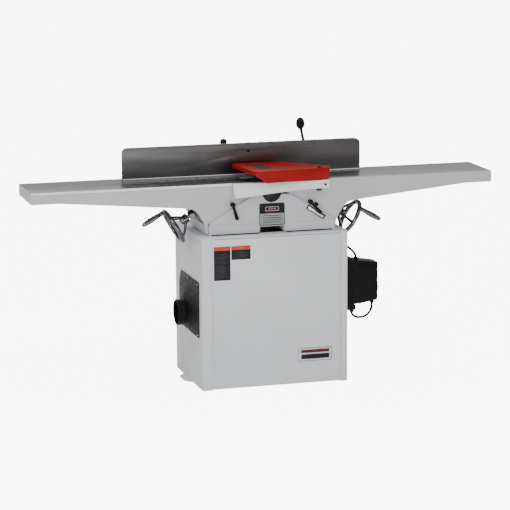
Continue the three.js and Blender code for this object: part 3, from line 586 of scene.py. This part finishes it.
def build_depth_scale():
    """Chrome strip with engraved graduations, set along the way."""
    soften("depth_scale", BRIGHT_CHROME, 0.3 * MM)
    low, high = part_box("depth_scale")
    along = Vector((math.cos(SCALE_LEAN), 0, -math.sin(SCALE_LEAN)))
    up = Vector((-along.z, 0, along.x))
    middle = Vector(((low.x + high.x) / 2, low.y, (low.z + high.z) / 2))
    bm = bmesh.new()
    long, wide = 42 * MM, 9.5 * MM
    outline = [middle + along * sx * long + up * sz * wide for sx, sz in QUARTERS]
    slab(bm, [Vector((p.x, high.y + 0.3 * MM, p.z)) for p in outline], -Y, 0.25 * MM)
    for i in range(-16, 17):
        tall = 5.5 * MM if i % 4 == 0 else 3.2 * MM
        at = middle + along * i * 2 * MM + up * (5.2 * MM - tall / 2)
        corners = [at + along * sx * 0.2 * MM + up * sz * tall / 2 for sx, sz in QUARTERS]
        slab(bm, corners, -Y, 0.08 * MM)
    piece("depth_scale_marks", bm, LABEL_DARK, "root")


# ---- tables ----
def table_rule(face):
    """Ground iron on top, black on the outer end faces of the feet as painted shade, paint everywhere else."""
    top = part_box("infeed_table")[1].z
    centre = face.calc_center_median()
    if face.normal.z > 0.9 and centre.z > top - 2 * MM:
        return 1
    outward = face.normal.x * (1 if centre.x > 0 else -1)
    return 2 if outward > 0.3 and FOOT_END_SHADE_BAND[0] < centre.z < FOOT_END_SHADE_BAND[1] else 0


def build_tables():
    for side in ("infeed", "outfeed"):
        paints = [CASTING_WHITE, TOP_IRON, BLACK_PAINT]
        recast(side + "_table", paints, table_rule, 1.5 * MM)
        soften(side + "_gib", STEEL, 0.3 * MM, 1)
        soften(side + "_nut", STEEL, 0.6 * MM)
        soften(side + "_screw", STEEL, 0.6 * MM)
    # The arm's lighter white is painted light.
    soften("rabbet_arm", ARM_LIT_WHITE, 2 * MM, 3)
    low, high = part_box("rabbet_arm")
    place = (high.x - 19 * MM, low.y, high.z - 17 * MM)
    screws("arm_screw", [place], -Y, 4.6 * MM, "infeed_table", BLACK_PAINT)
    build_edge_highlight_strip("outfeed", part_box("outfeed_table")[0].x + 3 * MM, low.x - 2 * MM)


def build_edge_highlight_strip(side, start, end):
    """A sloped strip along the front of a table's top: the machined chamfer, in a white brighter than the paint as
    a painted highlight.
    """
    low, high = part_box(side + "_table")
    bm = bmesh.new()
    section = [(0.3, -0.4), (-0.3, -0.6), (-2.6, -4.6), (-2.6, -9.6), (0.3, -10.4)]
    rings = [[bm.verts.new((x, low.y + y * MM, high.z + z * MM)) for y, z in section] for x in (start, end)]
    skin(bm, rings)
    piece(side + "_edge", bm, EDGE_HIGHLIGHT_WHITE, side + "_table")


# ---- handwheels ----
def joint_frame(name):
    joint = JOINTS[name]
    return Vector(joint["pos_m"]), Vector(joint["axis"]).normalized()


def build_handwheel(side):
    centre, axis = joint_frame(side + "_wheel_spin")
    grip_at, _ = joint_frame(side + "_grip_spin")
    out = grip_at - centre
    out = (out - axis * out.dot(axis)).normalized()
    across = axis.cross(out)
    rim, tube, hub_depth = 66 * MM, 9 * MM, 66.4 * MM
    bm = bmesh.new()
    torus(bm, centre, axis, rim, tube, 96, 20)
    hub = [
        (15, 0), (18.6, 1.2), (19, 4), (17, 20), (15.4, 30),
        (14, 33), (9, 34.4), (7.5, 34.6), (7, 37), (0, 37.4),
    ]
    lathe(bm, [(r * MM, h * MM) for r, h in hub], centre - axis * hub_depth, axis, 40)
    for third in (1, 3, 5):
        turn = third * math.pi / 3
        ray = out * math.cos(turn) + across * math.sin(turn)
        path = spline([
            centre - axis * (hub_depth - 16 * MM) + ray * 12 * MM,
            centre - axis * (hub_depth - 27 * MM) + ray * 24 * MM,
            centre - axis * 24 * MM + ray * 42 * MM,
            centre - axis * 9 * MM + ray * 55 * MM,
            centre - axis * 1.5 * MM + ray * 63 * MM,
        ])
        shares = [i / (len(path) - 1) for i in range(len(path))]
        waist = [(9.4 - 2.2 * math.sin(math.pi * share) - 0.8 * share) * MM for share in shares]
        sweep(bm, path, waist, 16, 0.72)
    foot = centre + out * rim
    boss = [(8.5 * MM, 0), (9.6 * MM, 5 * MM), (8.4 * MM, 8.8 * MM), (6.2 * MM, 9.6 * MM)]
    lathe(bm, boss, foot, axis, 28)
    lathe(bm, [(4.4 * MM, 9 * MM), (4.4 * MM, 100.6 * MM), (3.4 * MM, 101.8 * MM)], foot, axis, 20)
    piece(side + "_wheel", bm, CHROME, side + "_handwheel", [side + "_handwheel"], 50)
    bm = bmesh.new()
    shape = [
        (5.6, 10), (8.2, 10.2), (9.4, 12), (8.6, 16), (8.9, 24), (10.3, 42),
        (10.9, 62), (10.6, 78), (9.2, 90), (6.6, 97.6), (5.2, 99.4),
    ]
    path = spline([Vector((r, h, 0)) for r, h in shape], 5)
    lathe(bm, [(p.x * MM, p.y * MM) for p in path], foot, axis, 32)
    piece(side + "_handle", bm, CHROME, side + "_grip", [side + "_grip"], 60)


# ---- levers and knobs ----
def build_lock_lever(side):
    """Ball-ended clamping lever: a turned head and a slim tapering arm."""
    name = side + "_lock_lever"
    pivot, _ = joint_frame(side + "_lock")
    low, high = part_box(name)
    head = Vector((pivot.x, high.y, pivot.z))
    tip_x = high.x - 8 * MM if abs(high.x - pivot.x) > abs(low.x - pivot.x) else low.x + 8 * MM
    end = Vector((tip_x, low.y + 7.5 * MM, low.z + 8 * MM))
    bm = bmesh.new()
    lathe(bm, round_profile(6 * MM, 0, 10 * MM, 0.5 * MM, 2), head, -Y, 24, 1)
    lathe(bm, round_profile(9.3 * MM, 8 * MM, 27.5 * MM, 2.4 * MM), head, -Y, 36)
    lathe(bm, round_profile(4 * MM, 26 * MM, 29.5 * MM, 0.8 * MM, 3), head, -Y, 20)
    start = head - Y * 19 * MM
    path = [start.lerp(end, i / 16) for i in range(17)]
    sweep(bm, path, [(4.4 + 2.6 * i / 16) * MM for i in range(17)], 20)
    lathe(bm, ball_profile(8 * MM), end, end - start, 28)
    piece(name + "_fine", bm, [KNOB_BLACK, DARK_STEEL], side + "_lock_lever", [name], 45)


def build_knobs():
    for side in ("infeed", "outfeed"):
        build_lock_lever(side)
    low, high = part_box("depth_stop_knob")
    centre = Vector(((low.x + high.x) / 2, high.y, (low.z + high.z) / 2))
    bm = bmesh.new()
    lathe(bm, round_profile(5.6 * MM, 0, 8 * MM, 0.5 * MM, 2), centre, -Y, 24, 1)
    grooves = 20
    profile = round_profile(7.8 * MM, 6 * MM, 15.6 * MM, 1.4 * MM)
    lathe(bm, profile, centre, -Y, 30)
    for i in range(grooves):
        turn = 2 * math.pi * i / grooves
        at = centre + (X * math.cos(turn) + Z * math.sin(turn)) * 7.6 * MM - Y * 8 * MM
        sweep(bm, [at, at - Y * 6 * MM], 0.5 * MM, 6)
    knob = "depth_stop_knob"
    piece(knob + "_fine", bm, [KNOB_BLACK, STEEL], knob, [knob])


# ---- guard ----
def build_guard():
    recast("cutter_guard", [RED], lambda face: 0, 3 * MM, 4, 30)
    soften("guard_post", BLACK_PAINT, 0.8 * MM)
    soften("guard_spring", STEEL, 0.5 * MM)
    low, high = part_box("cutter_guard")
    build_guard_label(Vector((low.x + 62 * MM, low.y + 76 * MM, high.z)))
    build_guard_cap(high.z)


def build_guard_label(corner):
    """A dark sticker with a red head and plain grey strokes."""
    width, depth = 52 * MM, 128 * MM
    bm = bmesh.new()
    middle = corner + X * width / 2 + Y * depth / 2
    lean = math.radians(5)
    across = X * math.cos(lean) + Y * math.sin(lean)
    back = Z.cross(across)
    slab(bm, rounded_rectangle(middle, across, back, width, depth, 2 * MM), Z, 0.35 * MM)
    head = middle + back * depth * 0.36 + Z * 0.35 * MM
    slab(bm, rounded_rectangle(head, across, back, width * 0.9, depth * 0.16, 1 * MM), Z, 0.12 * MM, 1)
    for i in range(9):
        share = 0.24 - i * 0.075
        long = 0.5 + 0.3 * ((i * 3) % 4) / 3
        line = middle + back * depth * share - across * width * (0.42 - long / 2) + Z * 0.35 * MM
        slab(bm, rounded_rectangle(line, across, back, width * long, 1.6 * MM, 0.5 * MM), Z, 0.12 * MM, 2)
    piece("guard_label", bm, [LABEL_DARK, LABEL_RED, LABEL_GREY], "cutter_guard")


def build_guard_cap(top):
    """The washer and socket screw over the guard's pivot."""
    low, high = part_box("guard_post")
    centre = (low + high) / 2
    bm = bmesh.new()
    at = Vector((centre.x, centre.y, top))
    lathe(bm, round_profile(11 * MM, 0, 1.6 * MM, 0.7 * MM, 3), at, Z, 36)
    cap_screw(bm, at + Z * 1.4 * MM, Z, 5.5 * MM)
    piece("guard_cap", bm, BLACK_PAINT, "cutter_guard")


# ---- fence ----
def fence_rule(face):
    """Ground iron on the working face and edges, paint on the ribbed back."""
    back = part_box("fence")[0].y + 11.5 * MM
    return 1 if face.calc_center_median().y > back and face.normal.y > -0.5 else 0


def build_fence():
    recast("fence", [FENCE_IRON, WHITE], fence_rule, 1 * MM)
    soften("fence_bracket", WHITE, 1.5 * MM, 3)
    soften("fence_carriage", WHITE, 1.2 * MM, 3)
    soften("tilt_quadrant", STEEL, 0.6 * MM)
    build_fence_plug()
    build_fence_handle()
    build_tilt_lever()
    build_slide_lever()


def build_fence_plug():
    """A black socket screw sunk in the hole of the fence's face, and two small stops on its top edge."""
    low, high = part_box("fence")
    bm = bmesh.new()
    at = Vector((SIGHT_HOLE[0], low.y + 4 * MM, SIGHT_HOLE[1]))
    plug = [(4.85, 6), (4.85, 0.4), (4.4, 0), (2.6, 0), (2.4, 3), (0, 3.2)]
    lathe(bm, [(r * MM, h * MM) for r, h in plug], at, Y, 24)
    for x in (-18 * MM, 31 * MM):
        stop = Vector((x, low.y + 6 * MM, high.z))
        lathe(bm, round_profile(3.2 * MM, -1 * MM, 2.6 * MM, 0.8 * MM, 3), stop, Z, 18)
    piece("fence_screws", bm, KNOB_BLACK, "fence")
    bm = bmesh.new()
    build_fence_foot_highlight(low, high)


def build_fence_foot_highlight(low, high):
    """A bright strip along the bottom of the fence's face: a chamfer, in a white brighter than the iron as a
    painted highlight.
    """
    section = [(0.3, 0.6), (-0.5, 0.8), (-0.5, 2.6), (0.3, 4.4)]
    ends = (low.x + 2 * MM, high.x - 2 * MM)
    bm = bmesh.new()
    skin(bm, [[bm.verts.new((x, low.y + y * MM, low.z + z * MM)) for y, z in section] for x in ends])
    piece("fence_foot_highlight", bm, EDGE_HIGHLIGHT_WHITE, "fence")


def build_fence_handle():
    low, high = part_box("fence_handle")
    egg, stretch = 16 * MM, 1.4
    knob = Vector((low.x + egg, high.y - egg, high.z - egg * stretch))
    root = Vector((high.x - 10 * MM, low.y, low.z + 10 * MM))
    lean = (knob - Z * 22 * MM - (root + Y * 10 * MM)).normalized()
    bm = bmesh.new()
    lathe(bm, round_profile(10 * MM, 0, 16 * MM, 1.8 * MM), root, Y, 36)
    path = spline([
        root + Y * 6 * MM,
        root + Y * 12 * MM + lean * 6 * MM,
        root + Y * 14 * MM + lean * 24 * MM,
        knob - Z * 17 * MM - lean * 20 * MM,
        knob - lean * 10 * MM,
    ])
    sweep(bm, path, 6 * MM, 20)
    profile = ball_profile(egg + 1.5 * MM, stretch, 22, 0.42)
    lathe(bm, [(0, profile[0][1]), *profile], knob, Z, 40, 1)
    blacks = [BLACK_PAINT, KNOB_BLACK]
    piece("fence_handle_fine", bm, blacks, "fence", ["fence_handle"], 55)


def build_tilt_lever():
    low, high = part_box("tilt_lock_lever")
    pivot, _ = joint_frame("tilt_lock")
    ball = 14 * MM
    middle = low.x + ball
    knob = Vector((middle, pivot.y + 34.3 * MM, high.z - ball))
    bm = bmesh.new()
    hub = Vector((low.x, pivot.y, pivot.z))
    lathe(bm, round_profile(11 * MM, 7 * MM, 25.4 * MM, 1.6 * MM), hub, X, 36)
    lathe(bm, round_profile(6.5 * MM, 1 * MM, 8 * MM, 1 * MM), hub, X, 6)
    bends = [(2, 3), (22, 15), (34, 35), (35, 65)]
    path = spline([(middle, pivot.y + y * MM, pivot.z + z * MM) for y, z in bends])
    sweep(bm, path, 4.4 * MM, 18)
    lathe(bm, ball_profile(ball, 1.0, 20), knob, Z, 36, 1)
    lever = "tilt_lock_lever"
    piece("tilt_lock_fine", bm, [BLACK_PAINT, KNOB_BLACK], lever, [lever], 55)


def build_slide_lever():
    low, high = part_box("slide_lock_lever")
    pivot, _ = joint_frame("slide_lock")
    ball = 11 * MM
    knob = Vector((high.x - ball, high.y - ball, high.z - ball))
    foot = Vector((pivot.x, pivot.y, low.z))
    bm = bmesh.new()
    lathe(bm, round_profile(12 * MM, 0, 16.8 * MM, 1.8 * MM), foot, Z, 36)
    start = foot + Z * 11.5 * MM
    heading = (knob - start).normalized()
    sweep(bm, [start + heading * 9 * MM, knob], 4.4 * MM, 18)
    lathe(bm, ball_profile(ball, 1.0, 20), knob, heading, 36, 1)
    lever = "slide_lock_lever"
    piece("slide_lock_fine", bm, [BLACK_PAINT, KNOB_BLACK], lever, [lever], 55)


# ---- cutterhead and drive ----
def build_drive():
    for node in ("cutterhead", "knife_gib_1", "knife_gib_2", "knife_gib_3", "motor_shaft", "motor_mount"):
        soften(node, STEEL, 0.5 * MM)
    for node in ("knife_1", "knife_2", "knife_3"):
        soften(node, CHROME, 0.1 * MM, 1)
    for node in ("front_bearing_housing", "rear_bearing_housing"):
        soften(node, BLACK_PAINT, 1.6 * MM, 3)
    for node in ("front_bearing", "rear_bearing"):
        soften(node, STEEL, 0.6 * MM)
    for node in ("cutterhead_pulley", "motor_pulley"):
        soften(node, DARK_STEEL, 0.6 * MM)
    soften("motor_housing", MOTOR_PAINT, 2 * MM, 3)
    soften("drive_belt", RUBBER, 0.8 * MM)
    soften("belt_guard", BLACK_PAINT, 1.2 * MM, 3)
    low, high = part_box("front_bearing_housing")
    centre = Vector(((low.x + high.x) / 2, low.y, (low.z + high.z) / 2))
    bm = bmesh.new()
    lathe(bm, round_profile(17 * MM, -0.2 * MM, 1.6 * MM, 1 * MM, 3), centre, -Y, 40)
    for i in range(3):
        turn = math.radians(-90 + 60 * (i - 1))
        at = centre + (X * math.cos(turn) + Z * math.sin(turn)) * 29 * MM
        cap_screw(bm, at, -Y, 3.2 * MM)
    piece("bearing_cap", bm, BLACK_PAINT, "root")


# ---- switch and leads ----
def build_switch():
    soften("switch_box", BLACK_PLASTIC, 2 * MM, 3)
    soften("switch_cover", BLACK_PLASTIC, 2.6 * MM, 4, 12)
    soften("contactor", BLACK_PLASTIC, 1 * MM)
    soften("start_button", GREEN, 1.2 * MM, 3)
    soften("stop_button", STOP_RED, 1.6 * MM, 3)
    build_leads()


def build_leads():
    """Two round leads: from the wall down to the cover, and looped under from the cover to the box."""
    low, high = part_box("motor_lead")
    middle = (low.y + high.y) / 2
    inset = 4 * MM
    corner = Vector((high.x - inset, middle, high.z - inset))
    route = [
        (0, -77), (0, -62), (-4, -50), (-13, -38), (-26, -26), (-44, -13), (-63, -3), (-83, 0), (-105, 0),
    ]
    build_lead("motor_lead", corner, route)
    low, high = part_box("switch_lead")
    corner = Vector((high.x - inset, middle, low.z + inset))
    route = [
        (0, 71), (0, 55), (-1, 40), (-6, 25), (-16, 12), (-30, 3),
        (-46, 0), (-62, 1), (-75, 7), (-83, 16), (-85, 27), (-85, 40),
    ]
    build_lead("switch_lead", corner, route)


def build_lead(node, corner, route):
    """A round lead whose route is given in millimetres along X and Z from a corner."""
    bm = bmesh.new()
    sweep(bm, spline([corner + X * x * MM + Z * z * MM for x, z in route]), 4.9 * MM, 20)
    piece(node + "_fine", bm, RUBBER, "root", [node])


# ---- floor and light ----
def build_stage():
    """A pale seamless floor; to the camera it glows a little, as a lit studio sweep does."""
    mesh = bpy.data.meshes.new("floor")
    bm = bmesh.new()
    bmesh.ops.create_grid(bm, x_segments=1, y_segments=1, size=60)
    bm.to_mesh(mesh)
    bm.free()
    floor = bpy.data.objects.new("floor", mesh)
    bpy.context.scene.collection.objects.link(floor)
    pale = Shader("floor_white", (0.82, 0.82, 0.82), 0.6)
    pale.vary_roughness(pale.noise(2, 2), 0.55, 0.65)
    ray = pale.tree.nodes.new("ShaderNodeLightPath")
    glow = pale.spread(ray.outputs["Is Camera Ray"], 0, FLOOR_GLOW, 0, 1)
    pale.bsdf.inputs["Emission Color"].default_value = (1, 1, 1, 1)
    pale.link(glow, pale.bsdf.inputs["Emission Strength"])
    mesh.materials.append(pale.material)


def area_light(name, at, aim, size, power, color=(1, 1, 1)):
    data = bpy.data.lights.new(name, "AREA")
    data.shape = "RECTANGLE"
    data.size, data.size_y = size
    data.energy = power
    data.color = color
    light = bpy.data.objects.new(name, data)
    bpy.context.scene.collection.objects.link(light)
    light.location = at
    light.rotation_mode = "QUATERNION"
    light.rotation_quaternion = (Vector(aim) - Vector(at)).to_track_quat("-Z", "Y")


def graded(world, direction, levels):
    """A ramp of brightness over one component of the direction, and the level that its white stands for."""
    nodes, links = world.node_tree.nodes, world.node_tree.links
    ramp = nodes.new("ShaderNodeValToRGB")
    links.new(direction, ramp.inputs["Fac"])
    top = max(level for _, level in levels)
    elements = ramp.color_ramp.elements
    while len(elements) < len(levels):
        elements.new(0.5)
    for element, (height, level) in zip(elements, levels):
        element.position = height
        element.color = (level / top, level / top, level / top, 1)
    background = nodes.new("ShaderNodeBackground")
    background.inputs["Strength"].default_value = top
    links.new(ramp.outputs["Color"], background.inputs["Color"])
    return background.outputs["Background"]


def build_sky():
    """Bright overhead and dim round the sides, so that metal shows dark bands; white to the camera."""
    world = bpy.data.worlds.new("studio")
    world.use_nodes = True
    nodes, links = world.node_tree.nodes, world.node_tree.links
    place = nodes.new("ShaderNodeTexCoord")
    split = nodes.new("ShaderNodeSeparateXYZ")
    links.new(place.outputs["Generated"], split.inputs["Vector"])
    sky = nodes.new("ShaderNodeAddShader")
    links.new(graded(world, split.outputs["Z"], SKY), sky.inputs[0])
    links.new(graded(world, split.outputs["Y"], BACKDROP), sky.inputs[1])
    seen = nodes["Background"]
    seen.inputs["Color"].default_value = (1, 1, 1, 1)
    seen.inputs["Strength"].default_value = FLOOR_GLOW
    ray = nodes.new("ShaderNodeLightPath")
    mix = nodes.new("ShaderNodeMixShader")
    links.new(ray.outputs["Is Camera Ray"], mix.inputs["Fac"])
    links.new(sky.outputs["Shader"], mix.inputs[1])
    links.new(seen.outputs["Background"], mix.inputs[2])
    links.new(mix.outputs["Shader"], nodes["World Output"].inputs["Surface"])
    bpy.context.scene.world = world


def build_light():
    build_sky()
    middle = (0, 0, 0.6)
    area_light("key", (-3.7, -3.6, 3.0), middle, (1.6, 2.2), 68)
    area_light("fill", (4.6, -1.6, 2.6), middle, (1.0, 2.0), 16)
    area_light("front", (0.6, -3.0, 4.6), middle, (2.4, 1.2), 26)
    area_light("low", (-0.6, -2.4, 0.25), (-0.1, -0.2, 0.0), (2.6, 0.4), 9)


build_cabinet()
build_labels()
build_extraction()
build_base()
build_tables()
build_handwheel("infeed")
build_handwheel("outfeed")
build_knobs()
build_guard()
build_fence()
build_drive()
build_switch()
build_stage()
build_light()
